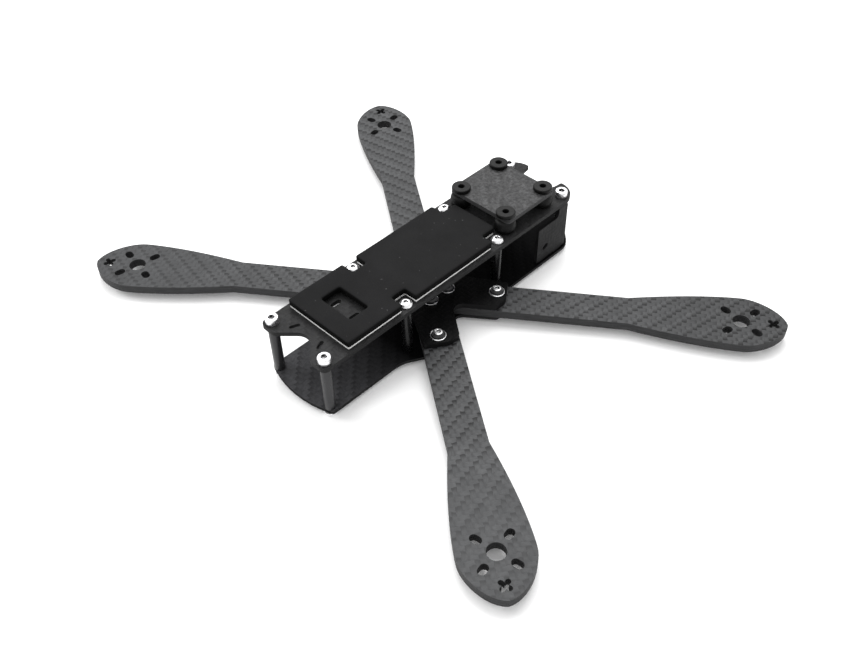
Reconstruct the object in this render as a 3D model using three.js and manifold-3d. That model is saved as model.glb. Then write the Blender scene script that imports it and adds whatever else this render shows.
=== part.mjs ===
// A mid-size racing quadcopter frame: four flat carbon arms clamped between two
// carbon plates, a top plate on eight posts with a battery pad stuck to it, and
// a small camera plate that floats on four rubber dampers at the front.
//
// Millimetres.  +X is the right side, +Y is forward, +Z is up.  The origin is on
// the middle line, under the frame, level with the heads that it rests on.

import * as THREE from 'three';
import { mergeVertices } from 'three/addons/utils/BufferGeometryUtils.js';
import Module from 'manifold-3d';

const wasm = await Module();
wasm.setup();

// ---------------------------------------------------------------- dimensions

const ARC_TOLERANCE = 0.05;      // how far a round edge may stray from its true arc
const FACETS = 12;               // round a fastener, a post or a damper
const CURVE_STEPS = 12;          // along each free curve of an arm's outline
const GAP = 0.2;                 // air left between stacked pieces
const BORE_GAP = 0.3;            // air left round a screw or a damper neck

const PLATE = 2.0;               // thickness of the top and camera plates
const BOTTOM_PLATE = 1.5;
const CLAMP_PLATE = 2.5;         // thickness of the plate over the arm roots
const ARM = 4.0;                 // thickness of an arm
const CHEEK = 1.5;               // thickness of the plates beside the camera bay

const POST_X = 15.9;                          // half the distance between post rows
const POST_Y = [-73.2, -28.9, 27.3, 71.7];    // the four posts on each side, rear to front
const POST_LENGTH = 24.0;
const POST_RADIUS = 2.3;

const ARM_ANGLE = THREE.MathUtils.degToRad(35.6);   // of an arm from the X axis
const ARM_HALF_WIDTH = 8.2;      // along the parallel stretch
const NECK_REACH = 88.5;         // where the arm starts to widen
const NECK_PULL = [22.5, 5];     // how the widening curve sets off: along the arm, and outwards
const WIDEST_REACH = 137.0;
const WIDEST_HALF_WIDTH = 14.7;
const WIDEST_PULL = [10, 7.5];   // how far the curves run straight, before and after the widest
const TIP_REACH = 156.2;
const TIP_PULL = [1, 7.5];       // how far behind and beside the tip its curve comes from

// The motor fixing: a bore for the shaft's end, and four slots that take screws
// on circles of 16 mm to 19 mm.
const MOTOR_REACH = 136.6;       // from the frame's centre to a motor's centre
const MOTOR_BORE = 3.8;
const MOTOR_CIRCLES = [16, 19];
const MOTOR_SLOT_REACH = (MOTOR_CIRCLES[0] + MOTOR_CIRCLES[1]) / 4;
const MOTOR_SLOT_TRAVEL = (MOTOR_CIRCLES[1] - MOTOR_CIRCLES[0]) / 2;
const MOTOR_SLOT_RADIUS = 1.75;

// The cross-shaped hole outboard of each motor, which takes a cable tie: four
// round lobes joined by narrow necks.
const CROSS_REACH = 150.2;
const CROSS_LOBE = 1.05;
const CROSS_LENGTH = 1.9;        // from its centre to the middle of a lobe
const CROSS_VALLEY = 1.3;        // from its centre to the corner between two lobes

const M3 = 1.5;                  // radius of the screws' shanks
const SCREW_HOLE = M3 + BORE_GAP;
const WASHER_RADIUS = 3.5;
const WASHER = 0.5;
const SHANK_CHAMFER = 0.4;
const SHANK_IN_POST = 6.0;
const BUTTON_HEIGHT = 1.65;
const BUTTON_RADIUS = 2.85;
const BUTTON_SOCKET = 2.0;       // across the flats
const BUTTON_SOCKET_DEPTH = 1.0;
const CAP_HEIGHT = 3.0;
const CAP_RADIUS = 2.75;
const CAP_CHAMFER = 0.35;
const CAP_SOCKET = 2.5;
const CAP_SOCKET_DEPTH = 1.5;

const OUTER_BOLT = [24.3, 18.7]; // each arm's two clamping bolts, in its quadrant
const INNER_BOLT = [6.7, 5.3];

const PAD = 3.0;                 // thickness of the battery pad
const TAPE = 0.8;                // thickness of the tape under it
const TAPE_INSET = 0.25;         // how far the tape stops inside the pad's edge
const TAPE_WINDOW_INSET = 1.5;   // how far it stops short of the pad's window

const CHEEK_X = POST_X + POST_RADIUS + BORE_GAP + CHEEK / 2;
const CHEEK_TAB = 5.0;           // length of a tab, which sits in a slot in the bottom plate
const CHEEK_TAB_Y = [55.5, 66.5];

const DAMPER_X = 13.2;
const DAMPER_Y = [35.5, 60.8];
const DAMPER_BORE = 1.4;
const DAMPER_NECK = 2.2;
const DAMPER_FLANGE = 4.3;
const DAMPER_BULB = 4.9;
const FLANGE = 1.8;              // thickness of a damper's flange
const CAMERA_PLATE_LIFT = 6.3;   // air between the top plate and the camera plate
const CAMERA_PLATE_HALF_WIDTH = 17.4;
const CAMERA_PLATE_REAR = 32.8;
const CAMERA_PLATE_FRONT = 63.8;

// Heights, built up from the heads that the frame rests on.
const BOTTOM_PLATE_Z = BUTTON_HEIGHT + GAP;
const ARM_Z = BOTTOM_PLATE_Z + BOTTOM_PLATE + GAP;
const CLAMP_PLATE_Z = ARM_Z + ARM + GAP;
const WASHER_Z = CLAMP_PLATE_Z + CLAMP_PLATE + GAP;
const ARM_BOLT_Z = WASHER_Z + WASHER + GAP;
const POST_Z = BOTTOM_PLATE_Z + BOTTOM_PLATE + GAP;
const TOP_PLATE_Z = POST_Z + POST_LENGTH + GAP;
const TOP_FACE_Z = TOP_PLATE_Z + PLATE;
const CAMERA_PLATE_Z = TOP_FACE_Z + CAMERA_PLATE_LIFT;

// ----------------------------------------------------------------- materials

function material(colour, roughness, metalness) {
  return new THREE.MeshStandardMaterial({ color: colour, roughness, metalness });
}

const CARBON = material(0x3b3b3e, 0.45, 0.1);
const BLACK_CARBON = material(0x161618, 0.5, 0.1);
const BLACK_ALUMINIUM = material(0x1d1d20, 0.4, 0.8);
const STEEL = material(0xd4d4d6, 0.25, 0.95);
const RUBBER = material(0x141414, 0.8, 0.0);
const FOAM = material(0x1b1b1c, 0.95, 0.0);
const WHITE_TAPE = material(0xf0f0ee, 0.7, 0.0);

// ------------------------------------------------------------------- helpers

const group = new THREE.Group();

function addPiece(name, geometry, pieceMaterial, position = [0, 0, 0], rotation = [0, 0, 0]) {
  const mesh = new THREE.Mesh(geometry, pieceMaterial);
  mesh.name = name;
  mesh.position.set(...position);
  mesh.rotation.set(...rotation);
  group.add(mesh);
  return mesh;
}

function toSolid(geometry) {
  const bare = geometry.clone();
  bare.deleteAttribute('normal');
  bare.deleteAttribute('uv');
  const merged = mergeVertices(bare, 1e-4);
  return new wasm.Manifold(new wasm.Mesh({
    numProp: 3,
    vertProperties: new Float32Array(merged.attributes.position.array),
    triVerts: new Uint32Array(merged.index.array),
  }));
}

function toGeometry(solid) {
  const mesh = solid.getMesh();
  const geometry = new THREE.BufferGeometry();
  geometry.setAttribute('position', new THREE.BufferAttribute(mesh.vertProperties, 3));
  geometry.setIndex(new THREE.BufferAttribute(mesh.triVerts, 1));
  geometry.computeVertexNormals();
  return geometry;
}

// Points along an arc, with enough of them to stay within a small distance of it.
function arcPoints(x, y, radius, from, to) {
  const step = 2 * Math.acos(1 - ARC_TOLERANCE / radius);
  const steps = Math.ceil(Math.abs(to - from) / step);
  return Array.from({ length: steps + 1 }, (_, i) => {
    const angle = from + (to - from) * i / steps;
    return new THREE.Vector2(x + radius * Math.cos(angle), y + radius * Math.sin(angle));
  });
}

// An outline through the given corners.  Each corner is [x, y, radius], and the
// radius rounds it with an arc that is tangent to both of its sides.
function roundedOutline(corners) {
  const points = corners.flatMap(([x, y, radius = 0], i) => {
    const corner = new THREE.Vector2(x, y);
    if (radius === 0) {
      return [corner];
    }
    const towards = ([px, py]) => new THREE.Vector2(px, py).sub(corner).normalize();
    const before = towards(corners.at(i - 1));
    const after = towards(corners[(i + 1) % corners.length]);
    const bend = Math.PI - Math.acos(before.dot(after));
    const middle = before.clone().add(after).normalize();
    const centre = corner.clone().addScaledVector(middle, radius / Math.cos(bend / 2));
    const facing = middle.negate().angle();
    const turn = before.cross(after) > 0 ? -bend : bend;
    return arcPoints(centre.x, centre.y, radius, facing - turn / 2, facing + turn / 2);
  });
  return new THREE.Shape(points);
}

// The whole outline, anticlockwise, from its right half's corners, front to rear.
function mirroredCorners(rightHalf) {
  const leftHalf = rightHalf.filter(([x]) => x !== 0).map(([x, y, radius]) => [-x, y, radius]);
  return [...leftHalf, ...rightHalf.toReversed()];
}

function roundHole(x, y, radius) {
  return new THREE.Shape(arcPoints(x, y, radius, 0, 2 * Math.PI).slice(1));
}

function rectangle(x, y, width, length) {
  return roundedOutline([
    [x - width / 2, y - length / 2], [x + width / 2, y - length / 2],
    [x + width / 2, y + length / 2], [x - width / 2, y + length / 2],
  ]);
}

// A slot with round ends, from its length between the two ends' centres.
function slotHole(x, y, length, radius, angle) {
  const dx = Math.cos(angle) * length / 2;
  const dy = Math.sin(angle) * length / 2;
  return new THREE.Shape([
    ...arcPoints(x + dx, y + dy, radius, angle - Math.PI / 2, angle + Math.PI / 2),
    ...arcPoints(x - dx, y - dy, radius, angle + Math.PI / 2, angle + 3 * Math.PI / 2),
  ]);
}

// A flat plate that stands on z = 0, with its holes cut right through.
function plate(outline, holes, thickness) {
  const extruded = (shape, depth) => (
    new THREE.ExtrudeGeometry(shape, { depth, bevelEnabled: false, curveSegments: CURVE_STEPS })
  );
  let solid = toSolid(extruded(outline, thickness));
  for (const hole of holes) {
    const cutter = extruded(hole, 3 * thickness).translate(0, 0, -thickness);
    solid = solid.subtract(toSolid(cutter));
  }
  return toGeometry(solid);
}

// A turned piece, standing along Z, from its profile of [radius, z] corners.
function turnedSolid(profile) {
  const points = profile.map(([radius, z]) => new THREE.Vector2(radius, z));
  return new THREE.LatheGeometry(points, FACETS).rotateX(Math.PI / 2);
}

function quadrants([x, y]) {
  return [[x, y], [-x, y], [-x, -y], [x, -y]];
}

const postCentres = POST_Y.flatMap((y) => [[POST_X, y], [-POST_X, y]]);
const armBoltCentres = [...quadrants(OUTER_BOLT), ...quadrants(INNER_BOLT)];
const damperCentres = DAMPER_Y.flatMap((y) => [[DAMPER_X, y], [-DAMPER_X, y]]);

// --------------------------------------------------- the two plates round the arms

// The part of each plate's outline that follows the arm roots on one side: two
// ears, each reaching a given way along its arm, and a round waist between them.
// An ear is a little narrower than its arm, and its inner corner is cut off.
function earCorners(reach) {
  const side = ARM_HALF_WIDTH - GAP;
  const cutAlong = 3.5;
  const cutAcross = 4.9;
  const ear = [
    [reach, side, 1.0],
    [reach, cutAcross - side, 5.0],
    [reach - cutAlong, -side, 1.5],
  ]
    .map(([along, across, radius]) => {
      const place = new THREE.Vector2(along, across).rotateAround(new THREE.Vector2(), ARM_ANGLE);
      return [place.x, place.y, radius];
    });
  const mirrored = ear.map(([x, y, radius]) => [x, -y, radius]).reverse();
  const waist = [14.4, 0, 4.2];
  return [...ear, waist, ...mirrored];
}

function bottomPlate() {
  const noseHalfWidth = 21.3;
  const tailHalfWidth = 19.1;
  const outline = roundedOutline(mirroredCorners([
    [6.1, 88.0, 4.0],
    [noseHalfWidth, 72.8, 9.0],
    [noseHalfWidth, 31.5, 1.5],
    ...earCorners(35.4),
    [tailHalfWidth, -35.8, 16.0],
    [tailHalfWidth, -74.3, 1.0],
    [0, -81.0, 50.0],
  ]));
  const holes = [...postCentres, ...armBoltCentres].map(([x, y]) => roundHole(x, y, SCREW_HOLE));
  for (const x of [-CHEEK_X, CHEEK_X]) {
    for (const y of CHEEK_TAB_Y) {
      holes.push(rectangle(x, y, CHEEK + 2 * BORE_GAP, CHEEK_TAB + 2 * BORE_GAP));
    }
  }
  return plate(outline, holes, BOTTOM_PLATE);
}

function armClampPlate() {
  const waistY = 13.0;
  const outline = roundedOutline(mirroredCorners([
    [0, waistY, 9.0],
    ...earCorners(35.0),
    [0, -waistY, 9.0],
  ]));
  return plate(outline, armBoltCentres.map(([x, y]) => roundHole(x, y, SCREW_HOLE)), CLAMP_PLATE);
}

// ------------------------------------------------------------------------ arms

// All four arms are one part.  It is drawn along +X, and turned or turned over
// into its quadrant.  Its root is cut square to the frame, so that the four roots
// meet on the frame's two middle lines.
function armGeometry() {
  const turned = (x, y) => new THREE.Vector2(x, y).rotateAround(new THREE.Vector2(), -ARM_ANGLE);
  const apex = turned(GAP, GAP);
  const innerEnd = turned(ARM_HALF_WIDTH / Math.sin(ARM_ANGLE) + GAP, GAP);
  const outerEnd = turned(GAP, ARM_HALF_WIDTH / Math.cos(ARM_ANGLE) + GAP);

  const outline = new THREE.Shape();
  outline.moveTo(apex.x, apex.y);
  outline.lineTo(innerEnd.x, -ARM_HALF_WIDTH);
  outline.lineTo(NECK_REACH, -ARM_HALF_WIDTH);
  outline.bezierCurveTo(NECK_REACH + NECK_PULL[0], -ARM_HALF_WIDTH - NECK_PULL[1],
    WIDEST_REACH - WIDEST_PULL[0], -WIDEST_HALF_WIDTH, WIDEST_REACH, -WIDEST_HALF_WIDTH);
  outline.bezierCurveTo(WIDEST_REACH + WIDEST_PULL[1], -WIDEST_HALF_WIDTH,
    TIP_REACH - TIP_PULL[0], -TIP_PULL[1], TIP_REACH, 0);
  outline.bezierCurveTo(TIP_REACH - TIP_PULL[0], TIP_PULL[1],
    WIDEST_REACH + WIDEST_PULL[1], WIDEST_HALF_WIDTH, WIDEST_REACH, WIDEST_HALF_WIDTH);
  outline.bezierCurveTo(WIDEST_REACH - WIDEST_PULL[0], WIDEST_HALF_WIDTH,
    NECK_REACH + NECK_PULL[0], ARM_HALF_WIDTH + NECK_PULL[1], NECK_REACH, ARM_HALF_WIDTH);
  outline.lineTo(outerEnd.x, ARM_HALF_WIDTH);
  outline.closePath();

  const holes = [OUTER_BOLT, INNER_BOLT].map(([x, y]) => {
    const place = turned(x, y);
    return roundHole(place.x, place.y, SCREW_HOLE);
  });
  holes.push(roundHole(MOTOR_REACH, 0, MOTOR_BORE));
  for (let quarter = 0; quarter < 4; quarter += 1) {
    const angle = Math.PI / 4 + quarter * Math.PI / 2;
    holes.push(slotHole(MOTOR_REACH + MOTOR_SLOT_REACH * Math.cos(angle),
      MOTOR_SLOT_REACH * Math.sin(angle), MOTOR_SLOT_TRAVEL, MOTOR_SLOT_RADIUS, angle));
  }
  holes.push(crossHole(CROSS_REACH, 0));
  const geometry = plate(outline, holes, ARM);
  geometry.rotateZ(ARM_ANGLE);
  geometry.translate(0, 0, -ARM / 2);
  return geometry;
}

function crossHole(x, y) {
  const points = [];
  for (let quarter = 0; quarter < 4; quarter += 1) {
    const angle = Math.PI / 4 + quarter * Math.PI / 2;
    const valley = angle + Math.PI / 4;
    points.push(
      ...arcPoints(x + CROSS_LENGTH * Math.cos(angle), y + CROSS_LENGTH * Math.sin(angle),
        CROSS_LOBE, angle - Math.PI / 2, angle + Math.PI / 2),
      new THREE.Vector2(x + CROSS_VALLEY * Math.cos(valley), y + CROSS_VALLEY * Math.sin(valley)),
    );
  }
  return new THREE.Shape(points);
}

// ------------------------------------------------------------------- top plate

function topPlate() {
  const frontHalfWidth = 20.1;
  const rearHalfWidth = 19.5;
  const outline = roundedOutline(mirroredCorners([
    [8.5, 68.4, 8.0],
    [9.8, 79.4, 0.8],
    [frontHalfWidth, 79.4, 9.4],
    [rearHalfWidth, -76.8, 2.8],
    [11.2, -76.8, 3.5],
    [0, -66.2, 6.0],
  ]));
  const holes = postCentres.map(([x, y]) => roundHole(x, y, SCREW_HOLE));
  holes.push(...damperCentres.map(([x, y]) => roundHole(x, y, DAMPER_NECK + BORE_GAP)));
  const tailSlot = { x: 7.7, y: -68.3, travel: 3.2, radius: 0.8, slant: 0.4 };
  const tieSlot = { x: 5.6, y: -48.0, travel: 3.0, radius: 1.1, slant: 0 };
  for (const { x, y, travel, radius, slant } of [tailSlot, tieSlot]) {
    holes.push(slotHole(x, y, travel, radius, Math.PI / 2 + slant));
    holes.push(slotHole(-x, y, travel, radius, Math.PI / 2 - slant));
  }
  return plate(outline, holes, PLATE);
}

// --------------------------------------------------------- battery pad and tape

// The pad steps in round the screws of the second posts, and is narrow between
// the third posts.  A window near its rear shows the slots in the top plate.
// The tape has the same outline, a little inside the pad's.
function padGeometry(inset, windowInset, thickness) {
  const side = 18.2 - inset;
  const notchSide = 11.5 - inset;
  const notchFront = -25.2 + inset;
  const notchRear = -32.8 - inset;
  const tongueSide = 12.0 - inset;
  const shoulder = 21.6 - inset;
  const outline = roundedOutline(mirroredCorners([
    [tongueSide, 30.0 - inset, 0.6],
    [tongueSide, shoulder, 0.6],
    [side, shoulder, 0.8],
    [side, notchFront, 0.6],
    [notchSide, notchFront, 0.6],
    [notchSide, notchRear, 0.6],
    [side, notchRear, 0.6],
    [side, -62.6 + inset, 0.8],
  ]));
  const window = roundedOutline(mirroredCorners([
    [8.7 + windowInset, -42.8 + windowInset, 0.6],
    [8.7 + windowInset, -53.0 - windowInset, 0.6],
  ]));
  return plate(outline, [window], thickness);
}

// ---------------------------------------------------------------- camera cheeks

// A cheek is a low panel with a taller column at its front, beside the front
// post.  It is drawn in its own plane: forward is +X and up is +Y.
function cheekGeometry() {
  const rear = 51.8;
  const front = 72.1;
  const column = front - 6.2;
  const shelf = POST_LENGTH - 4.8;
  const corners = [[rear, 0]];
  for (const y of CHEEK_TAB_Y) {
    corners.push([y - CHEEK_TAB / 2, 0], [y - CHEEK_TAB / 2, -BOTTOM_PLATE],
      [y + CHEEK_TAB / 2, -BOTTOM_PLATE], [y + CHEEK_TAB / 2, 0]);
  }
  corners.push([front, 0], [front, POST_LENGTH, 0.5], [column, POST_LENGTH, 0.5],
    [column, shelf, 2.2], [rear, shelf, 1.0]);
  const cameraSlot = { y: 57.4, z: 6.9, travel: 1.5, radius: 1.2, slant: 0.5 };
  const hole = slotHole(cameraSlot.y, cameraSlot.z, cameraSlot.travel, cameraSlot.radius,
    cameraSlot.slant);
  const geometry = plate(roundedOutline(corners), [hole], CHEEK);
  geometry.translate(0, 0, -CHEEK / 2);
  geometry.rotateX(Math.PI / 2);
  geometry.rotateZ(Math.PI / 2);
  return geometry;
}

// ---------------------------------------------------------------- camera plate

function cameraPlate() {
  const outline = roundedOutline(mirroredCorners([
    [CAMERA_PLATE_HALF_WIDTH, CAMERA_PLATE_FRONT, 1.5],
    [CAMERA_PLATE_HALF_WIDTH, CAMERA_PLATE_REAR, 1.5],
  ]));
  const holes = damperCentres.map(([x, y]) => roundHole(x, y, DAMPER_NECK + BORE_GAP));
  return plate(outline, holes, PLATE);
}

// ---------------------------------------------------------------------- dampers

// One hollow rubber damper, with z = 0 at the middle of the top plate: a flange
// below that plate, a neck through it, a fat bulb, and a neck and flange above.
function damperGeometry() {
  const flangeRound = 0.6;
  const bulbRound = [1.3, 1.6];
  const low = -PLATE / 2 - GAP;
  const bulbLow = PLATE / 2 + GAP;
  const bulbHigh = bulbLow + CAMERA_PLATE_LIFT - 2 * GAP;
  const high = bulbHigh + PLATE + 2 * GAP;
  return turnedSolid([
    [DAMPER_BORE, low - FLANGE],
    [DAMPER_FLANGE - flangeRound, low - FLANGE],
    [DAMPER_FLANGE, low - FLANGE / 2],
    [DAMPER_FLANGE, low],
    [DAMPER_NECK, low],
    [DAMPER_NECK, bulbLow],
    [DAMPER_BULB - bulbRound[0], bulbLow],
    [DAMPER_BULB, bulbLow + bulbRound[1]],
    [DAMPER_BULB, bulbHigh - bulbRound[1]],
    [DAMPER_BULB - bulbRound[0], bulbHigh],
    [DAMPER_NECK, bulbHigh],
    [DAMPER_NECK, high],
    [DAMPER_FLANGE, high],
    [DAMPER_FLANGE, high + FLANGE / 2],
    [DAMPER_FLANGE - flangeRound, high + FLANGE],
    [DAMPER_BORE, high + FLANGE],
    [DAMPER_BORE, low - FLANGE],
  ]);
}

// ----------------------------------------------------------- posts and fasteners

function postGeometry() {
  const chamfer = 0.3;
  const bore = M3 + GAP;
  return turnedSolid([
    [bore, 0],
    [POST_RADIUS - chamfer, 0],
    [POST_RADIUS, chamfer],
    [POST_RADIUS, POST_LENGTH - chamfer],
    [POST_RADIUS - chamfer, POST_LENGTH],
    [bore, POST_LENGTH],
    [bore, 0],
  ]);
}

// A screw with its head's underside at z = 0 and its shank below.  The socket is
// a hexagon, measured across its flats.
function screwGeometry(headProfile, headHeight, socket, socketDepth, shankLength) {
  const body = toSolid(turnedSolid([
    [0, -shankLength],
    [M3 - SHANK_CHAMFER, -shankLength],
    [M3, -shankLength + SHANK_CHAMFER],
    [M3, 0],
    ...headProfile,
    [0, headHeight],
  ]));
  const acrossCorners = socket / Math.cos(Math.PI / 6);
  const hex = new THREE.CylinderGeometry(acrossCorners / 2, acrossCorners / 2, 2 * socketDepth, 6);
  hex.rotateX(Math.PI / 2);
  hex.translate(0, 0, headHeight);
  return toGeometry(body.subtract(toSolid(hex)));
}

// A low domed head.
function buttonScrew(shankLength) {
  const domeProfile = [
    [BUTTON_RADIUS, 0],
    [BUTTON_RADIUS, 0.2 * BUTTON_HEIGHT],
    [0.84 * BUTTON_RADIUS, 0.6 * BUTTON_HEIGHT],
    [0.54 * BUTTON_RADIUS, BUTTON_HEIGHT],
  ];
  return screwGeometry(domeProfile, BUTTON_HEIGHT, BUTTON_SOCKET, BUTTON_SOCKET_DEPTH, shankLength);
}

// A tall straight-sided head.
function capScrew(shankLength) {
  const capProfile = [
    [CAP_RADIUS, 0],
    [CAP_RADIUS, CAP_HEIGHT - CAP_CHAMFER],
    [CAP_RADIUS - CAP_CHAMFER, CAP_HEIGHT],
  ];
  return screwGeometry(capProfile, CAP_HEIGHT, CAP_SOCKET, CAP_SOCKET_DEPTH, shankLength);
}

function washerGeometry() {
  return turnedSolid([
    [SCREW_HOLE, 0],
    [WASHER_RADIUS, 0],
    [WASHER_RADIUS, WASHER],
    [SCREW_HOLE, WASHER],
    [SCREW_HOLE, 0],
  ]);
}

// ------------------------------------------------------------------- assembly

addPiece('bottom_plate', bottomPlate(), BLACK_CARBON, [0, 0, BOTTOM_PLATE_Z]);
addPiece('arm_clamp_plate', armClampPlate(), BLACK_CARBON, [0, 0, CLAMP_PLATE_Z]);

const arm = armGeometry();
const armCentre = [0, 0, ARM_Z + ARM / 2];
addPiece('arm_front_right', arm, CARBON, armCentre);
addPiece('arm_rear_right', arm, CARBON, armCentre, [Math.PI, 0, 0]);
addPiece('arm_rear_left', arm, CARBON, armCentre, [0, 0, Math.PI]);
addPiece('arm_front_left', arm, CARBON, armCentre, [0, Math.PI, 0]);

addPiece('top_plate', topPlate(), CARBON, [0, 0, TOP_PLATE_Z]);

const tape = padGeometry(TAPE_INSET, TAPE_WINDOW_INSET, TAPE);
addPiece('pad_tape', tape, WHITE_TAPE, [0, 0, TOP_FACE_Z + GAP]);
addPiece('battery_pad', padGeometry(0, 0, PAD), FOAM, [0, 0, TOP_FACE_Z + TAPE + 2 * GAP]);

const cheek = cheekGeometry();
addPiece('camera_cheek_right', cheek, CARBON, [CHEEK_X, 0, POST_Z]);
addPiece('camera_cheek_left', cheek, CARBON, [-CHEEK_X, 0, POST_Z]);

addPiece('camera_plate', cameraPlate(), CARBON, [0, 0, CAMERA_PLATE_Z]);

const sideName = (x) => (x > 0 ? 'right' : 'left');
const endName = (y) => (y > 0 ? 'front' : 'rear');

const damper = damperGeometry();
for (const [x, y] of damperCentres) {
  const end = y === DAMPER_Y[0] ? 'rear' : 'front';
  addPiece(`damper_${end}_${sideName(x)}`, damper, RUBBER, [x, y, TOP_PLATE_Z + PLATE / 2]);
}

const ROW_NAMES = ['rear', 'mid_rear', 'mid_front', 'front'];
const post = postGeometry();
const tallScrew = capScrew(PLATE + SHANK_IN_POST);
const lowScrew = buttonScrew(PLATE + SHANK_IN_POST);
for (const [x, y] of postCentres) {
  const row = POST_Y.indexOf(y);
  const name = `${ROW_NAMES[row]}_${sideName(x)}`;
  const atEnd = row === 0 || row === POST_Y.length - 1;
  addPiece(`post_${name}`, post, BLACK_ALUMINIUM, [x, y, POST_Z]);
  addPiece(`top_screw_${name}`, atEnd ? tallScrew : lowScrew, STEEL, [x, y, TOP_FACE_Z + GAP]);
  addPiece(`bottom_screw_${name}`, lowScrew, STEEL, [x, y, BUTTON_HEIGHT], [Math.PI, 0, 0]);
}

const armBolt = buttonScrew(ARM_BOLT_Z - BOTTOM_PLATE_Z);
const washer = washerGeometry();
for (const [x, y] of armBoltCentres) {
  const ring = Math.abs(x) === OUTER_BOLT[0] ? 'outer' : 'inner';
  const name = `${ring}_${endName(y)}_${sideName(x)}`;
  addPiece(`arm_washer_${name}`, washer, STEEL, [x, y, WASHER_Z]);
  addPiece(`arm_bolt_${name}`, armBolt, STEEL, [x, y, ARM_BOLT_Z]);
}

export default group;
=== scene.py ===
"""A carbon quadcopter frame on a white table: fine fasteners, rubber dampers, a foam pad, and looks."""

import math

import bmesh
import bpy
from mathutils import Matrix, Vector, noise


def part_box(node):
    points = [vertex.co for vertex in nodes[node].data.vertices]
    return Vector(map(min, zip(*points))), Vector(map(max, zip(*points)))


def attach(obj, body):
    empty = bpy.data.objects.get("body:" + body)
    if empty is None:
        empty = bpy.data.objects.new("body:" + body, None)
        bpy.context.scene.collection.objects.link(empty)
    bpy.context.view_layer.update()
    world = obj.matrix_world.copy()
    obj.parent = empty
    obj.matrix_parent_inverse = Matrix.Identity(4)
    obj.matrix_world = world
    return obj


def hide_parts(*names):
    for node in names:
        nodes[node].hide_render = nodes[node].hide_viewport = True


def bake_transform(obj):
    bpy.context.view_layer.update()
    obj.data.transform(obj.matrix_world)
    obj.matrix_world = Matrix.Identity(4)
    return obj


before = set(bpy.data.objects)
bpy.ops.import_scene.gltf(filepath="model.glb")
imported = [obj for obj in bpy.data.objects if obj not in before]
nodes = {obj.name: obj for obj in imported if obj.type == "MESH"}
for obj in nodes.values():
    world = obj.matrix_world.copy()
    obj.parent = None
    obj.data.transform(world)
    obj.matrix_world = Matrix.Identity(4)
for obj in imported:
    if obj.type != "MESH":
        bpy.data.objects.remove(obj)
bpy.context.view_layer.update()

MM = 0.001
GAP = 0.2 * MM                       # the air that the CAD leaves between stacked pieces
ARM_ANGLE = math.radians(35.6)       # of an arm from the X axis


# ------------------------------------------------------------------ camera and light

AIM = Vector((16.44, -18.79, 7.05)) * MM
CAMERA_DISTANCE = 421.5 * MM
CAMERA_AZIMUTH = math.radians(45.35)
CAMERA_ELEVATION = math.radians(45.03)
CAMERA_ROLL = math.radians(-1.29)
LENS = 41.49                         # on a 36 mm wide sensor
FLOOR_REACH = 2.5                    # metres from the middle of the floor to each side


def add_camera():
    across, rise = CAMERA_AZIMUTH, CAMERA_ELEVATION
    level_back = Vector((math.sin(across), -math.cos(across), 0))
    back = level_back * math.cos(rise) + Vector((0, 0, math.sin(rise)))
    level_right = Vector((math.cos(across), math.sin(across), 0))
    level_up = back.cross(level_right)
    right = level_right * math.cos(CAMERA_ROLL) + level_up * math.sin(CAMERA_ROLL)
    up = back.cross(right)
    camera = bpy.data.objects.new("camera", bpy.data.cameras.new("camera"))
    camera.data.lens = LENS
    camera.data.clip_start = 0.01
    axes = Matrix((right, up, back)).transposed().to_4x4()
    camera.matrix_world = Matrix.Translation(AIM + CAMERA_DISTANCE * back) @ axes
    bpy.context.collection.objects.link(camera)
    bpy.context.scene.camera = camera


def add_softbox(name, place, size, power):
    """A square area light at place, facing the frame.  Lengths are in metres and power in watts."""
    light = bpy.data.lights.new(name, "AREA")
    light.shape = "SQUARE"
    light.size = size
    light.energy = power
    lamp = bpy.data.objects.new(name, light)
    lamp.location = place
    lamp.rotation_euler = Vector(place).to_track_quat("Z", "Y").to_euler()
    bpy.context.collection.objects.link(lamp)


def add_studio():
    world = bpy.data.worlds.new("studio")
    world.use_nodes = True
    background = world.node_tree.nodes["Background"]
    background.inputs["Color"].default_value = (1.0, 1.0, 1.0, 1.0)
    background.inputs["Strength"].default_value = 0.95
    bpy.context.scene.world = world
    bpy.context.scene.view_settings.view_transform = "Standard"
    add_softbox("overhead_softbox", (-0.35, 0.45, 1.05), 0.9, 12.0)
    add_softbox("left_softbox", (-0.9, -0.5, 0.6), 0.5, 5.0)

    mesh = bpy.data.meshes.new("floor")
    reach = FLOOR_REACH
    corners = [(-reach, -reach, 0), (reach, -reach, 0), (reach, reach, 0), (-reach, reach, 0)]
    mesh.from_pydata(corners, [], [(0, 1, 2, 3)])
    floor = bpy.data.objects.new("floor", mesh)
    bpy.context.collection.objects.link(floor)
    floor.data.materials.append(table_paper())


# --------------------------------------------------------------------- materials

LOW, HIGH = 0.3, 0.7                 # nearly all values of a noise texture lie between these


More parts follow.
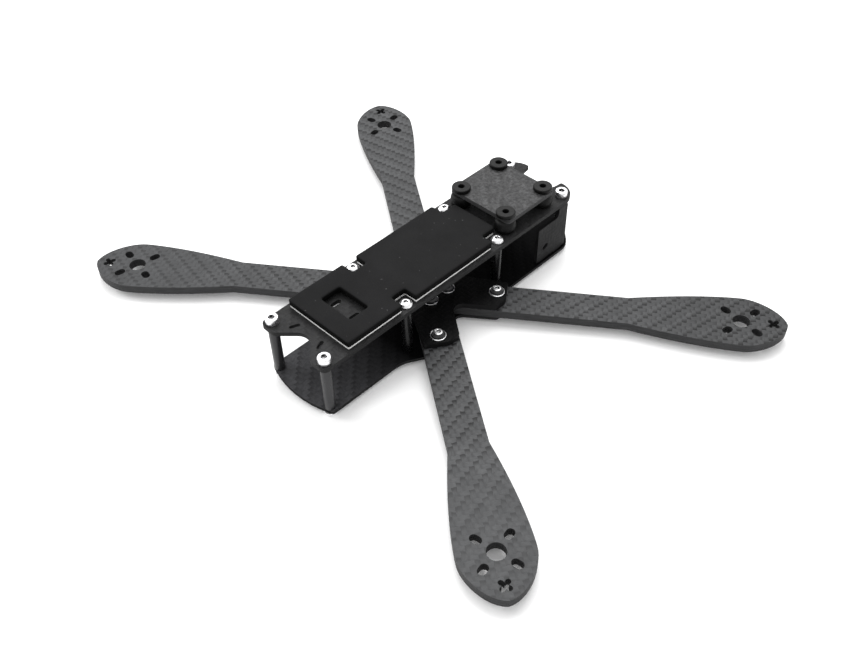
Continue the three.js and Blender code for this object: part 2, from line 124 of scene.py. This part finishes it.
class Finish:
    """A material and short calls that add nodes to it.  A value may be a number or a socket."""

    def __init__(self, name, **uniform):
        self.material = bpy.data.materials.new(name)
        self.material.use_nodes = True
        self.tree = self.material.node_tree
        self.shader = self.tree.nodes["Principled BSDF"]
        for socket, value in uniform.items():
            self.shader.inputs[socket.replace("_", " ")].default_value = value

    def add(self, kind, values=(), **settings):
        """A new node with these settings, whose first inputs take the values in order."""
        node = self.tree.nodes.new(kind)
        for name, value in settings.items():
            setattr(node, name, value)
        for place, value in enumerate(values):
            self.feed(node.inputs[place], value)
        return node

    def feed(self, socket, value):
        """Links a socket's value to the input, or sets a number; None leaves the input alone."""
        if isinstance(value, bpy.types.NodeSocket):
            self.tree.links.new(value, socket)
        elif value is not None:
            socket.default_value = value

    def set(self, socket, value):
        """Feeds one of the shader's own inputs."""
        self.feed(self.shader.inputs[socket], value)

    def maths(self, operation, *values, clamp=False):
        return self.add("ShaderNodeMath", values, operation=operation, use_clamp=clamp).outputs[0]

    def times(self, *values):
        """All the values multiplied together."""
        product = values[0]
        for value in values[1:]:
            product = self.maths("MULTIPLY", product, value)
        return product

    def mix(self, amount, first, second):
        """first where amount is 0, second where it is 1."""
        return self.add("ShaderNodeMix", (amount, None, first, second)).outputs["Result"]

    def position(self, rotation=(0, 0, 0), scale=1000.0):
        """The place on the piece, in millimetres unless scale says otherwise, after a turn."""
        place = self.add("ShaderNodeTexCoord").outputs["Object"]
        mapping = self.add("ShaderNodeMapping", (place,))
        mapping.inputs["Rotation"].default_value = rotation
        mapping.inputs["Scale"].default_value = (scale, scale, scale)
        return mapping.outputs[0]

    def upward(self):
        """How far the surface looks up: 1 on a level top, 0 on an upright side."""
        return self.parts(self.add("ShaderNodeNewGeometry").outputs["Normal"])[2]

    def parts(self, vector):
        return self.add("ShaderNodeSeparateXYZ", (vector,)).outputs[:3]

    def vector(self, x, y, z):
        return self.add("ShaderNodeCombineXYZ", (x, y, z)).outputs[0]

    def noise(self, vector, scale, detail=3.0, roughness=0.5):
        """Noise from 0 to 1 with about scale waves in one unit of the vector."""
        node = self.add("ShaderNodeTexNoise")
        self.feed(node.inputs["Vector"], vector)
        node.inputs["Scale"].default_value = scale
        node.inputs["Detail"].default_value = detail
        node.inputs["Roughness"].default_value = roughness
        return node.outputs["Fac"]

    def spread(self, value, low, high, out_low, out_high):
        """value from low to high, spread over out_low to out_high and held at both ends."""
        return self.add("ShaderNodeMapRange", (value, low, high, out_low, out_high)).outputs[0]

    def patches(self, vector, scale, low, high, detail=3.0, roughness=0.5):
        """A level that drifts from low to high and back over the piece."""
        return self.spread(self.noise(vector, scale, detail, roughness), LOW, HIGH, low, high)

    def tint(self, colour, level):
        """colour made darker or lighter by level."""
        grey = self.vector(level, level, level)
        product = self.add("ShaderNodeVectorMath", (grey, None), operation="MULTIPLY")
        product.inputs[1].default_value = colour
        return product.outputs[0]

    def bump(self, height, depth):
        """Raises the surface by depth, in millimetres, where height is 1."""
        node = self.add("ShaderNodeBump")
        node.inputs["Strength"].default_value = 1.0
        node.inputs["Distance"].default_value = depth * MM
        self.feed(node.inputs["Height"], height)
        self.set("Normal", node.outputs[0])


def table_paper():
    finish = Finish("table_paper", Roughness=0.9, Specular_IOR_Level=0.1, Emission_Strength=0.08)
    fibre = finish.patches(finish.position(), 0.05, 0.99, 1.0, 4.0)
    finish.set("Base Color", finish.tint((0.93, 0.93, 0.93), fibre))
    return finish.material


TOW = 2.1                            # width of one bundle of carbon fibre, in millimetres
PLY = 0.25                           # thickness of one layer of cloth
FLOAT = 2.0                          # bundles that a bundle passes over, and then under
WEAVE_DEPTH = 0.05
FACE_LEVEL = 0.8                     # how squarely a surface faces out of the plate to be its face


def carbon(name, face_colour, edge_colour, weft_sheen_level, dive_shade_level, gloss, mottle=0.06, fade=None,
           painted_light_end=None, turn=0.0, mirrored=False, standing=False, dark_warp=False):
    """Twill-woven plate, whose faces show the weave and whose cut edges show the layers of cloth.

    The dive level is how dark the weft bundles are painted where they dive under, or the warp
    bundles if dark_warp says so, as painted shade, and the weft level is how bright the weft is
    painted against the warp, as painted sheen; mottle is how uneven the resin is.  fade is where
    along X the weave grows faint, by how much, and how much lighter or darker the face is painted
    there, as painted light and shade; the pale end is where along Y the face is painted lighter,
    as painted light."""
    finish = Finish(name, Specular_IOR_Level=gloss)
    place = finish.position((0, math.radians(90), 0) if standing else (0, 0, -turn))
    along, forward, depth = finish.parts(place)
    u, v = bundle_place(finish, place, along, forward, mirrored)
    shade, height = twill(finish, u, v, weft_sheen_level, dive_shade_level, dark_warp)
    if fade:
        start, end, amount, tip_light_level = fade
        plain = 0.8
        shade = finish.mix(finish.spread(along, start, end, 0.0, amount), shade, plain)
        # Painted light and shade: the face is painted lighter or darker towards the arm's tip.
        shade = finish.times(shade, finish.spread(along, start, end, 1.0, tip_light_level))
    resin = finish.patches(place, 0.09, 0.88, 1.12)
    speckle = finish.spread(finish.noise(place, 0.8, 3.0, 0.6), 0.35, 0.65, 1 - mottle, 1 + mottle)
    shade = finish.times(shade, resin, speckle)
    # Painted light: the face is painted lighter towards one end along Y, up to the given level.
    if painted_light_end:
        start, end, level = painted_light_end
        shade = finish.times(shade, finish.spread(forward, start, end, level, 1.0))

    grit = finish.noise(place, 6.0, 3.0)
    edge_shade = finish.times(layer_shade(finish, u, v, depth), finish.spread(grit, LOW, HIGH, 0.8, 1.2))
    normal = finish.add("ShaderNodeNewGeometry").outputs["True Normal"]
    squareness = finish.maths("ABSOLUTE", finish.parts(normal)[0 if standing else 2])
    on_face = finish.maths("GREATER_THAN", squareness, FACE_LEVEL)
    colour = finish.add("ShaderNodeMix", data_type="RGBA")
    finish.feed(colour.inputs["Factor"], on_face)
    finish.feed(colour.inputs["A"], finish.tint(edge_colour, edge_shade))
    finish.feed(colour.inputs["B"], finish.tint(face_colour, shade))
    finish.set("Base Color", colour.outputs["Result"])

    edge_roughness = 0.62
    handled = finish.patches(place, 0.25, 0.4, 0.55, 4.0, 0.6)
    finish.set("Roughness", finish.mix(on_face, edge_roughness, handled))
    finish.bump(finish.mix(on_face, finish.times(grit, 0.5), height), WEAVE_DEPTH)
    return finish.material


def bundle_place(finish, place, along, forward, mirrored):
    """The place on the cloth, counted in bundles, which wander a little from straight lines."""
    drift = finish.noise(place, 0.35, 2.0)
    hand = -1 if mirrored else 1
    u = finish.maths("MULTIPLY_ADD", along, hand / TOW, finish.spread(drift, LOW, HIGH, -0.2, 0.2))
    v = finish.maths("MULTIPLY_ADD", forward, 1 / TOW, finish.spread(drift, LOW, HIGH, 0.15, -0.15))
    return u, v


def twill(finish, u, v, weft_sheen_level, dive_shade_level, dark_warp):
    """How bright the cloth is painted, and how high it is.  The brightness is painted light and shade: a
    painted sheen that differs between warp and weft, and painted shade on one side of each dive and in the
    hollows.  The pattern steps along by one bundle on each row.
    """
    column = finish.maths("FLOOR", u)
    row = finish.maths("FLOOR", v)
    along_warp = finish.maths("FLOORED_MODULO", finish.maths("ADD", v, column), 2 * FLOAT)
    along_weft = finish.maths("FLOORED_MODULO", finish.maths("ADD", u, row), 2 * FLOAT)
    warp_on_top = finish.maths("LESS_THAN", along_warp, FLOAT)
    warp_height = float_height(finish, finish.times(along_warp, 1 / FLOAT), u)
    weft_height = float_height(finish, finish.maths("MULTIPLY_ADD", along_weft, 1 / FLOAT, -1.0), v)
    height = finish.mix(warp_on_top, weft_height, warp_height)

    fine, coarse = 9.0, 0.7              # strands a bundle, across it and along it
    strand_u = finish.times(u, finish.mix(warp_on_top, coarse, fine))
    strand_v = finish.times(v, finish.mix(warp_on_top, fine, coarse))
    strands = finish.noise(finish.vector(strand_u, strand_v, warp_on_top), 1.0, 2.0)

    darkest = 0.25                       # bundles from where a bundle comes up to where its painted shade is darkest
    # Painted shade on one side of where a bundle dives under: how far it reaches, in bundles, and how dark
    # it is.
    long_shade_mark = (1.2, dive_shade_level)
    short_shade_mark = (0.6, 0.6 + 0.4 * dive_shade_level)
    warp_shade_mark, weft_shade_mark = (long_shade_mark, short_shade_mark) if dark_warp else (short_shade_mark, long_shade_mark)
    warp_dive_shade = finish.spread(along_warp, darkest, warp_shade_mark[0], warp_shade_mark[1], 1.0)
    weft_dive_shade = finish.spread(along_weft, FLOAT + darkest, FLOAT + weft_shade_mark[0], weft_shade_mark[1], 1.0)
    # Painted sheen: the weft bundles are painted at another brightness than the warp.
    bundle = finish.times(finish.mix(warp_on_top, weft_sheen_level, 1.0),
                          finish.mix(warp_on_top, weft_dive_shade, warp_dive_shade))
    # Painted shade in the hollows of the weave.
    hollow_shade = finish.spread(height, 0.0, 0.4, 0.9, 1.0)
    return finish.times(bundle, hollow_shade, finish.spread(strands, 0.25, 0.75, 0.68, 1.28)), height


def float_height(finish, along, across):
    """Height of a bundle that dives under at both ends of a float and is rounded across."""
    dive_slope, flatness = 7.0, 1.6
    rest = finish.maths("SUBTRACT", 1.0, along)
    arch = finish.maths("MULTIPLY", finish.times(along, rest), dive_slope, clamp=True)
    side = finish.maths("MULTIPLY_ADD", finish.maths("FRACT", across), 2.0, -1.0)
    round_back = finish.maths("SUBTRACT", 1.0, finish.times(side, side))
    return finish.times(arch, finish.maths("MULTIPLY", round_back, flatness, clamp=True))


def layer_shade(finish, u, v, depth):
    """How bright each layer of cloth is where the plate is cut."""
    along_scale, layer_scale = 0.3, 1.7
    layer = finish.maths("FLOOR", finish.times(depth, 1 / PLY))
    place = finish.vector(finish.times(u, along_scale), finish.times(v, along_scale),
                          finish.times(layer, layer_scale))
    return finish.patches(place, 1.0, 0.6, 1.35, 1.0)


RINGS = 14.0                         # turning rings a millimetre


def turned_metal(name, colour, roughness, metallic, ring_depth, gloss=0.5):
    """Metal with the fine rings that turning leaves, and a little handling wear."""
    finish = Finish(name, Metallic=metallic, Specular_IOR_Level=gloss)
    place = finish.position()
    x, y, z = finish.parts(place)
    radius = finish.maths("SQRT", finish.maths("ADD", finish.times(x, x), finish.times(y, y)))
    ring_place = finish.vector(finish.times(radius, RINGS), finish.times(z, RINGS), 0.0)
    wear = finish.noise(place, 0.9, 4.0, 0.6)
    finish.set("Base Color", finish.tint(colour, finish.spread(wear, LOW, HIGH, 0.85, 1.08)))
    finish.set("Roughness", finish.spread(wear, LOW, HIGH, roughness * 0.75, roughness * 1.35))
    finish.bump(finish.noise(ring_place, 1.0, 2.0), ring_depth)
    return finish.material


def moulded_rubber(name, colour):
    """Matt black rubber with patches of dust, and the faces that look up painted lighter and the sides
    darker, as painted light and shade.
    """
    finish = Finish(name, Roughness=0.5, Specular_IOR_Level=0.16)
    place = finish.position()
    dust = finish.spread(finish.noise(place, 0.8, 4.0, 0.65), 0.35, 0.75, 0.8, 1.9)
    # Painted light and shade: faces that look up are painted lighter and the sides darker.
    top_light_and_shade = finish.spread(finish.upward(), 0.3, 0.95, 0.4, 1.6)
    finish.set("Base Color", finish.tint(colour, finish.times(dust, top_light_and_shade)))
    finish.bump(finish.noise(place, 7.0, 3.0), 0.03)
    return finish.material


def foam(name, colour):
    """Closed-cell foam: a fine even grain with a few specks of dust, and its sides painted darker as painted
    shade.
    """
    finish = Finish(name, Roughness=0.85, Specular_IOR_Level=0.1)
    place = finish.position()
    cells = finish.add("ShaderNodeTexVoronoi")
    finish.feed(cells.inputs["Vector"], place)
    cells.inputs["Scale"].default_value = 3.2
    rubbed = finish.patches(place, 0.06, 0.85, 1.2, 4.0, 0.6)
    speck = finish.spread(finish.noise(place, 0.7, 2.0, 0.3), 0.76, 0.78, 1.0, 5.0)
    # Painted shade: the sides are painted much darker than the top.
    top = finish.spread(finish.upward(), 0.2, 0.8, 0.15, 1.0)
    finish.set("Base Color", finish.tint(colour, finish.times(rubbed, speck, top)))
    finish.bump(finish.spread(cells.outputs["Distance"], 0.0, 0.6, 0.0, 1.0), 0.05)
    return finish.material


def paper_tape(name, colour):
    finish = Finish(name, Roughness=0.7)
    fibre = finish.noise(finish.position(), 2.5, 3.0)
    finish.set("Base Color", finish.tint(colour, finish.spread(fibre, LOW, HIGH, 0.9, 1.05)))
    finish.bump(fibre, 0.03)
    return finish.material


# --------------------------------------------------------------- piece-making helpers

SEGMENTS = 96                        # round a turned piece; a multiple of six, for the sockets
KNURL_DEPTH = 0.06


def ring_radius(shape, radius, place):
    """Radius of the ring's given point.  A hexagon's radius is half its width across the flats."""
    if shape == "hex":
        turn = (place / SEGMENTS * 2 * math.pi) % (math.pi / 3)
        return radius / math.cos(turn - math.pi / 6)
    if shape == "knurled" and place % 3 == 0:
        return radius - KNURL_DEPTH
    return radius


def turned_mesh(name, rings):
    """A closed mesh through rings of (height, radius, shape), in millimetres.

    A ring of no radius is a point on the axis.  Without one, the last ring joins the first."""
    mesh = bmesh.new()
    rows = []
    for height, radius, shape in rings:
        count = SEGMENTS if radius else 1
        row = []
        for place in range(count):
            angle = place / SEGMENTS * 2 * math.pi
            reach = ring_radius(shape, radius, place) * MM if radius else 0
            row.append(mesh.verts.new((reach * math.cos(angle), reach * math.sin(angle), height * MM)))
        rows.append(row)
    closed = len(rows[0]) > 1
    pairs = list(zip(rows, rows[1:])) + ([(rows[-1], rows[0])] if closed else [])
    for low, high in pairs:
        for place in range(SEGMENTS):
            after = (place + 1) % SEGMENTS
            lower = [low[place % len(low)], low[after % len(low)]]
            upper = [high[after % len(high)], high[place % len(high)]]
            mesh.faces.new(dict.fromkeys(lower + upper))
    bmesh.ops.recalc_face_normals(mesh, faces=mesh.faces)
    return shaded(name, mesh)


def shaded(name, mesh, sharp_angle=32):
    """The finished mesh, smooth but for edges sharper than the angle."""
    data = bpy.data.meshes.new(name)
    mesh.to_mesh(data)
    mesh.free()
    for face in data.polygons:
        face.use_smooth = True
    data.set_sharp_from_angle(angle=math.radians(sharp_angle))
    return data


def add_piece(name, data, place, body="frame", flipped=False, stands_for=None):
    piece = bpy.data.objects.new(name, data)
    piece.location = place
    if flipped:
        piece.rotation_euler = (math.pi, 0, 0)
    bpy.context.collection.objects.link(piece)
    bpy.context.view_layer.update()
    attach(piece, body)
    if stands_for:
        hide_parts(stands_for)
    return piece


def with_material(data, *materials):
    for material in materials:
        data.materials.append(material)
    return data


def matching(prefix):
    """CAD nodes whose names start that way, each with its lowest and highest corner."""
    return [(name, *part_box(name)) for name in sorted(nodes) if name.startswith(prefix)]


def middle(low, high, height):
    return Vector(((low.x + high.x) / 2, (low.y + high.y) / 2, height))


def arc(radius, height, size, start, end, steps=5):
    """Rings along part of a circle centred at (radius, height), between two angles in degrees."""
    rings = []
    for step in range(steps + 1):
        angle = math.radians(start + (end - start) * step / steps)
        rings.append((height + size * math.sin(angle), radius + size * math.cos(angle), "round"))
    return rings


# ------------------------------------------------------------------------ fasteners

SHANK = 1.5                          # radius; this and the sizes below are in millimetres
SHANK_LENGTH = 8.0
BUTTON_HEIGHT = 1.65
CAP_HEIGHT = 3.0
LONGEST_BUTTON_SCREW = 10.0
HEAD_SEAT = -GAP / MM                # a head reaches down through the gap to the plate under it

# Parts of a head or washer painted dark, as painted shade: the least and greatest radius, and the lowest
# height.
BUTTON_SOCKET = (0.9, 1.1, 0.5)
CAP_SOCKET = (1.1, 1.4, 1.3)
BOLT_RIM = (1.75, 3.0, -1.0)
WASHER_FLOOR = (0, 3.08, -1.0)


def shank_rings(length):
    """A threaded shank: a row of shallow grooves below the head."""
    pitch, depth, tip = 0.5, 0.28, 0.4
    rings = [(-length, 0, "round"), (-length, SHANK - tip, "round")]
    height = -length + tip
    while height < -pitch:
        rings.append((height, SHANK, "round"))
        rings.append((height + pitch / 2, SHANK - depth, "round"))
        height += pitch
    return rings


def button_screw(name, shank, *materials):
    """A domed head with a hexagonal socket, listed from the seat up and into the socket."""
    rings = shank_rings(shank) + [(HEAD_SEAT, SHANK, "round"), (HEAD_SEAT, 2.75, "round"),
                                  (HEAD_SEAT + 0.1, 2.85, "round"), (0.3, 2.85, "round"),
                                  (0.62, 2.76, "round"), (0.95, 2.55, "round"), (1.25, 2.24, "round"),
                                  (1.5, 1.85, "round"), (1.62, 1.55, "round"),
                                  (BUTTON_HEIGHT, 1.4, "round"), (BUTTON_HEIGHT, 1.22, "round"),
                                  (1.52, 1.0, "hex"), (0.7, 1.0, "hex"), (0.45, 0, "round")]
    return with_material(turned_mesh(name, rings), *materials)


def cap_screw(name, shank, *materials):
    """A tall knurled head with a hexagonal socket, listed from the seat up and into the socket."""
    rings = shank_rings(shank) + [(HEAD_SEAT, SHANK, "round"), (HEAD_SEAT, 2.6, "round"),
                                  (HEAD_SEAT + 0.15, 2.75, "round"), (0.25, 2.75, "round"),
                                  (0.35, 2.78, "knurled"), (2.35, 2.78, "knurled"),
                                  (2.45, 2.75, "round"), (2.7, 2.7, "round"), (2.9, 2.52, "round"),
                                  (CAP_HEIGHT, 2.3, "round"), (CAP_HEIGHT, 1.55, "round"),
                                  (2.82, 1.25, "hex"), (1.5, 1.25, "hex"), (1.2, 0, "round")]
    return with_material(turned_mesh(name, rings), *materials)


def paint_shade(mesh, nearest, farthest, lowest):
    """Gives the second material, as painted shade, to faces between two radii and over a height, in
    millimetres.
    """
    for face in mesh.polygons:
        reach = face.center.xy.length / MM
        if nearest < reach < farthest and face.center.z / MM > lowest:
            face.material_index = 1
    return mesh


def add_screws(steel, black):
    button = paint_shade(button_screw("button_screw", SHANK_LENGTH, steel, black), *BUTTON_SOCKET)
    cap = paint_shade(cap_screw("cap_screw", SHANK_LENGTH, steel, black), *CAP_SOCKET)
    for name, low, high in matching("top_screw_"):
        tall = high.z - low.z > LONGEST_BUTTON_SCREW * MM
        screw, height = (cap, CAP_HEIGHT) if tall else (button, BUTTON_HEIGHT)
        seat = middle(low, high, high.z - height * MM)
        add_piece("fine_" + name, screw, seat, stands_for=name)
    for name, low, high in matching("bottom_screw_"):
        seat = middle(low, high, low.z + BUTTON_HEIGHT * MM)
        add_piece("fine_" + name, button, seat, flipped=True, stands_for=name)


def add_arm_bolts(steel, black):
    low_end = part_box("bottom_plate")[0].z
    for name, low, high in matching("arm_bolt_"):
        seat = high.z - BUTTON_HEIGHT * MM
        bolt = bpy.data.meshes.get("arm_bolt") or arm_bolt((seat - low.z) / MM, steel, black)
        add_piece("fine_" + name, bolt, middle(low, high, seat), stands_for=name)
        nut = bpy.data.meshes.get("press_nut") or press_nut(steel)
        add_piece(name.replace("arm_bolt", "press_nut"), nut, middle(low, high, low_end))
    for name, low, high in matching("arm_washer_"):
        washer = bpy.data.meshes.get("arm_washer") or arm_washer(steel, black)
        add_piece("fine_" + name, washer, middle(low, high, low.z), stands_for=name)


def arm_bolt(shank, steel, black):
    """A button screw whose socket and outer rim are painted dark, as painted shade."""
    return paint_shade(paint_shade(button_screw("arm_bolt", shank, steel, black), *BUTTON_SOCKET), *BOLT_RIM)


def press_nut(steel):
    """A round flange under the bottom plate, with the bolt's end showing in its hole."""
    rings = [(0, 1.62, "round"), (-0.75, 1.62, "round"), (-1.0, 1.8, "round"), (-1.0, 2.75, "round"),
             (-0.85, 2.95, "round"), (-0.1, 2.95, "round"), (0, 2.85, "round")]
    return with_material(turned_mesh("press_nut", rings), steel)


def arm_washer(steel, black):
    """A dished washer: a bright rolled rim round a floor, painted dark as painted shade, that the bolt's
    head sits on.
    """
    rings = [(HEAD_SEAT, 1.7, "round"), (HEAD_SEAT, 3.35, "round"), (HEAD_SEAT + 0.12, 3.5, "round"),
             (0.3, 3.5, "round"), (0.45, 3.42, "round"), (0.5, 3.28, "round"), (0.45, 3.14, "round"),
             (0.3, 3.06, "round"), (0.3, 1.8, "round"), (0.2, 1.7, "round")]
    return paint_shade(with_material(turned_mesh("arm_washer", rings), steel, black), *WASHER_FLOOR)


def post_mesh(name, length, material):
    """A plain round post, softened at both ends."""
    corner = 0.3
    end = arc(2.0, corner, corner, -90, 0, 3)
    far_end = [(length - height, radius, shape) for height, radius, shape in reversed(end)]
    rings = [(0, 1.6, "round")] + end + far_end + [(length, 1.6, "round")]
    return with_material(turned_mesh(name, rings), material)


def add_posts(black, shaded_black):
    for name, low, high in matching("post_"):
        # The middle posts take a copy of the black metal painted darker, as painted shade under the top
        # plate.
        kind, material = ("middle_post", shaded_black) if "_mid_" in name else ("end_post", black)
        length = (high.z - low.z + 2 * GAP) / MM
        post = bpy.data.meshes.get(kind) or post_mesh(kind, length, material)
        foot = middle(low, high, low.z - GAP)
        add_piece("fine_" + name, post, foot, stands_for=name)


# -------------------------------------------------------------------- rubber dampers

BULB_STEPS = 12                      # from the bulb's foot to its crown


def damper_mesh(rubber, plate_low, plate_high, camera_low, camera_high, crest):
    """Hollow rubber: a flange under the top plate, a bulb, and a flange over the camera plate.

    The heights of both plates' faces and of the crest are in millimetres above the damper's foot."""
    bore, mouth, neck, shoulder = 1.35, 1.55, 2.45, 3.2
    waist, swell = 3.3, 1.6
    rings = [(0.5, bore, "round"), (0.12, mouth, "round"), (0, 1.9, "round")]
    rings += arc(3.4, 0.9, 0.9, -90, 0) + arc(3.9, plate_low - 0.4, 0.4, 0, 90, 3)
    rings += [(plate_low, neck, "round"), (plate_high, neck, "round"), (plate_high, shoulder, "round")]
    centre, half = (plate_high + camera_low) / 2, (camera_low - plate_high) / 2
    for step in range(1, BULB_STEPS):
        angle = math.pi * step / BULB_STEPS
        rings.append((centre - half * math.cos(angle), waist + swell * math.sin(angle) ** 0.8, "round"))
    rings += [(camera_low, shoulder, "round"), (camera_low, neck, "round"), (camera_high, neck, "round")]
    rings += arc(3.9, camera_high + 0.4, 0.4, -90, 0, 3) + arc(3.75, crest - 0.6, 0.55, 0, 90, 6)
    rings += [(crest - 0.08, 3.2, "round"), (crest - 0.02, 2.5, "round"), (crest, 2.0, "round")]
    rings += [(crest - 0.12, mouth, "round"), (crest - 0.5, bore, "round")]
    return with_material(turned_mesh("damper", rings), rubber)


def add_dampers(rubber):
    plate_low, plate_high = (corner.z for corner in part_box("top_plate"))
    camera_low, camera_high = (corner.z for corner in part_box("camera_plate"))
    for name, low, high in matching("damper_"):
        levels = [(level - low.z) / MM for level in (plate_low, plate_high, camera_low, camera_high, high.z)]
        mesh = bpy.data.meshes.get("damper") or damper_mesh(rubber, *levels)
        damper = bpy.data.objects.new("fine_" + name, mesh.copy())
        damper.location = middle(low, high, low.z)
        bpy.context.collection.objects.link(damper)
        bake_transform(damper)
        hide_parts(name)


# ------------------------------------------------------------------------ soft pieces

WAVES_ACROSS, WAVES_ALONG = 70, 50   # a metre, in the unevenness of the foam's top
WAVE_SLICE = 3.0                     # where in the noise the waves are taken from
SETTLED = 0.3                        # how far the waves sink below the even top, as a part of sway


def soft_copy(node, name, material, grid, rounding, sway):
    """A soft piece in a CAD piece's place: evenly meshed, with soft edges and a slightly uneven top.

    grid is the mesh's spacing, rounding is how often it is smoothed, and sway is how uneven the top
    is.  The piece reaches down through the gap to what it is stuck to."""
    low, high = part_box(node)
    mesh = bmesh.new()
    mesh.from_mesh(nodes[node].data)
    for vertex in mesh.verts:
        if vertex.co.z < (low.z + high.z) / 2:
            vertex.co.z -= GAP
    data = bpy.data.meshes.new(name + "_blank")
    mesh.to_mesh(data)
    mesh.free()
    blank = bpy.data.objects.new(name + "_blank", data)
    bpy.context.collection.objects.link(blank)
    remesh = blank.modifiers.new("remesh", "REMESH")
    remesh.mode = "VOXEL"
    remesh.voxel_size = grid
    even = blank.evaluated_get(bpy.context.evaluated_depsgraph_get())
    mesh = bmesh.new()
    mesh.from_mesh(even.to_mesh())
    bpy.data.objects.remove(blank)
    for _ in range(rounding):
        bmesh.ops.smooth_vert(mesh, verts=mesh.verts, factor=0.5,
                              use_axis_x=True, use_axis_y=True, use_axis_z=True)
    for vertex in mesh.verts:
        lift = (vertex.co.z - low.z) / (high.z - low.z)
        wave = noise.noise(Vector((vertex.co.x * WAVES_ACROSS, vertex.co.y * WAVES_ALONG, WAVE_SLICE)))
        vertex.co.z += sway * (wave - SETTLED) * max(lift, 0.0)
    data = with_material(shaded(name, mesh, sharp_angle=60), material)
    return add_piece(name, data, Vector(), stands_for=node)


# ------------------------------------------------------------------------- CAD plates

CHAMFER = 0.12                       # in millimetres, on a plate's cut edges
FLAT_ANGLE = math.radians(0.5)       # facets that bend less than this are joined into one
CUT_ANGLE = math.radians(50)         # edges that bend more than this are chamfered


def finish_plate(node, material):
    """Gives a CAD plate its material, and a fine chamfer round its cut edges."""
    plate = nodes[node]
    plate.data.materials.clear()
    plate.data.materials.append(material)
    flat = plate.modifiers.new("flat_faces", "DECIMATE")
    flat.decimate_type = "DISSOLVE"
    flat.angle_limit = FLAT_ANGLE
    bevel = plate.modifiers.new("cut_edge", "BEVEL")
    bevel.width = CHAMFER * MM
    bevel.segments = 1
    bevel.limit_method = "ANGLE"
    bevel.angle_limit = CUT_ANGLE


def add_plates():
    """Every carbon plate.  The arms differ in the hand of their twill, in their painted sheen and painted
    shade, in how far they fade, and in how much lighter or darker their tips are painted, as painted light
    and shade.
    """
    arm_look = {"face_colour": (0.056, 0.057, 0.059), "edge_colour": (0.026, 0.026, 0.027), "gloss": 0.2}
    fading = (70.0, 120.0)
    arms = {
        "arm_front_right": {"turn": ARM_ANGLE, "mirrored": True, "dark_warp": True, "weft_sheen_level": 0.86,
                            "dive_shade_level": 0.1, "fade": (*fading, 0.0, 0.8)},
        "arm_front_left": {"turn": math.pi - ARM_ANGLE, "mirrored": True, "weft_sheen_level": 0.84,
                           "dive_shade_level": 0.2, "fade": (*fading, 0.0, 1.0)},
        "arm_rear_left": {"turn": math.pi + ARM_ANGLE, "dark_warp": True, "weft_sheen_level": 0.88,
                          "dive_shade_level": 0.2, "fade": (*fading, 0.35, 1.0)},
        "arm_rear_right": {"turn": -ARM_ANGLE, "weft_sheen_level": 0.9,
                           "dive_shade_level": 0.1, "fade": (*fading, 0.6, 1.15)},
    }
    for node, weave in arms.items():
        finish_plate(node, carbon("carbon_" + node, **arm_look, **weave))
    grey = {"face_colour": (0.036, 0.036, 0.037), "edge_colour": (0.03, 0.03, 0.031),
            "weft_sheen_level": 0.93, "dive_shade_level": 0.7, "gloss": 0.22, "mottle": 0.6}
    finish_plate("camera_plate", carbon("carbon_camera_plate", **grey))
    deck = {"face_colour": (0.023, 0.023, 0.0235), "edge_colour": (0.016, 0.016, 0.0163),
            "weft_sheen_level": 0.9, "dive_shade_level": 0.75, "gloss": 0.1, "mottle": 0.1}
    finish_plate("top_plate", carbon("carbon_top_plate", **deck))
    side = {"face_colour": (0.024, 0.024, 0.0245), "edge_colour": (0.01, 0.01, 0.0103),
            "weft_sheen_level": 0.95, "dive_shade_level": 0.9, "gloss": 0.03, "mottle": 0.1}
    cheek = carbon("carbon_cheek", standing=True, **side)
    finish_plate("camera_cheek_left", cheek)
    finish_plate("camera_cheek_right", cheek)
    dark = {"face_colour": (0.0035, 0.0035, 0.0037), "weft_sheen_level": 0.9, "dive_shade_level": 0.7}
    # The bottom plate takes this dark face as painted shade, for it lies in shade under the top plate, and
    # its tail, which stands out from under it, is painted up to 18 times lighter as painted light.
    bottom_look = carbon("carbon_bottom_plate", edge_colour=(0.02, 0.02, 0.0205), gloss=0.01,
                         painted_light_end=(-66.0, -30.0, 18.0), **dark)
    clamp_look = carbon("carbon_clamp_plate", edge_colour=(0.006, 0.006, 0.0062), gloss=0.07, **dark)
    finish_plate("bottom_plate", bottom_look)
    finish_plate("arm_clamp_plate", clamp_look)


# --------------------------------------------------------------------------- the scene

add_camera()
add_studio()
add_plates()

steel = turned_metal("bright_steel", (0.92, 0.92, 0.93), 0.3, 1.0, 0.002)
# The black metal of the end posts also paints shade in the screw sockets, on the arm bolts' rims and on the
# washers' floors.
black_metal_and_shade = turned_metal("black_anodised_and_painted_shade", (0.02, 0.02, 0.0215), 0.34, 0.3, 0.004)
# A copy of the black metal, painted far darker and less glossy as painted shade, for the middle posts under
# the top plate.
shaded_black_metal = turned_metal("black_anodised_painted_shade", (0.003, 0.003, 0.0033), 0.24, 0.0, 0.0005, 0.3)
rubber = moulded_rubber("damper_rubber", (0.004, 0.004, 0.004))
black_foam = foam("pad_foam", (0.0105, 0.0105, 0.0108))
white_tape = paper_tape("white_tape", (0.85, 0.85, 0.84))

add_screws(steel, black_metal_and_shade)
add_arm_bolts(steel, black_metal_and_shade)
add_posts(black_metal_and_shade, shaded_black_metal)
add_dampers(rubber)

pad = soft_copy("battery_pad", "foam_pad", black_foam, grid=0.5 * MM, rounding=1, sway=0.12 * MM)
soft_copy("pad_tape", "tape_strip", white_tape, grid=0.25 * MM, rounding=0, sway=0)
